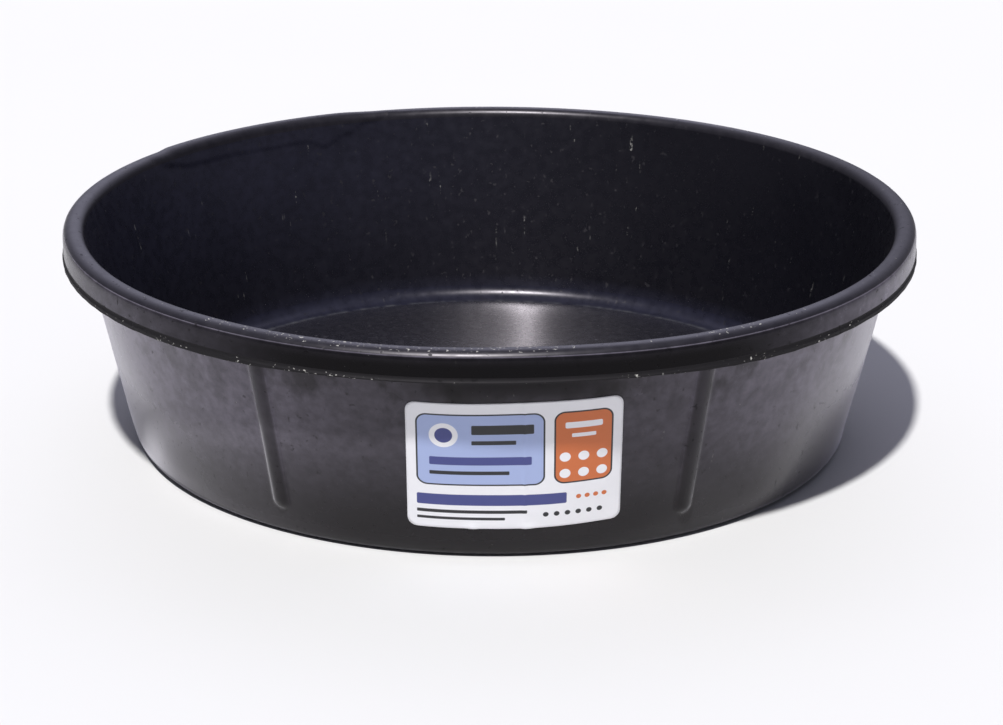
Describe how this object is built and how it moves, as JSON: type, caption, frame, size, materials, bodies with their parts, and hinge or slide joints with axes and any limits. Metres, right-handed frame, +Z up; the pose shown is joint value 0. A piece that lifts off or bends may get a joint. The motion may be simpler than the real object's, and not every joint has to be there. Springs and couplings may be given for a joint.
{
  "type": "rubber feed tub",
  "caption": "Shallow round feed tub moulded in black rubber, with a flared wall, a thick rounded rim, vertical outer ribs and a film label, for feeding or watering livestock",
  "frame": {"origin": "on the ground, at the centre of the tub's round base", "axes": "+Z up along the tub's axis; -Y to the front, the side with the label; +X to the right as seen from the front"},
  "size_m": [0.4299, 0.43, 0.112],
  "materials": {
    "rubber": "moulded black rubber with a dull sheen",
    "label_film": "printed white film"
  },
  "bodies": {
    "root": {"tub": "rubber", "label": "label_film"}
  },
  "joints": []
}
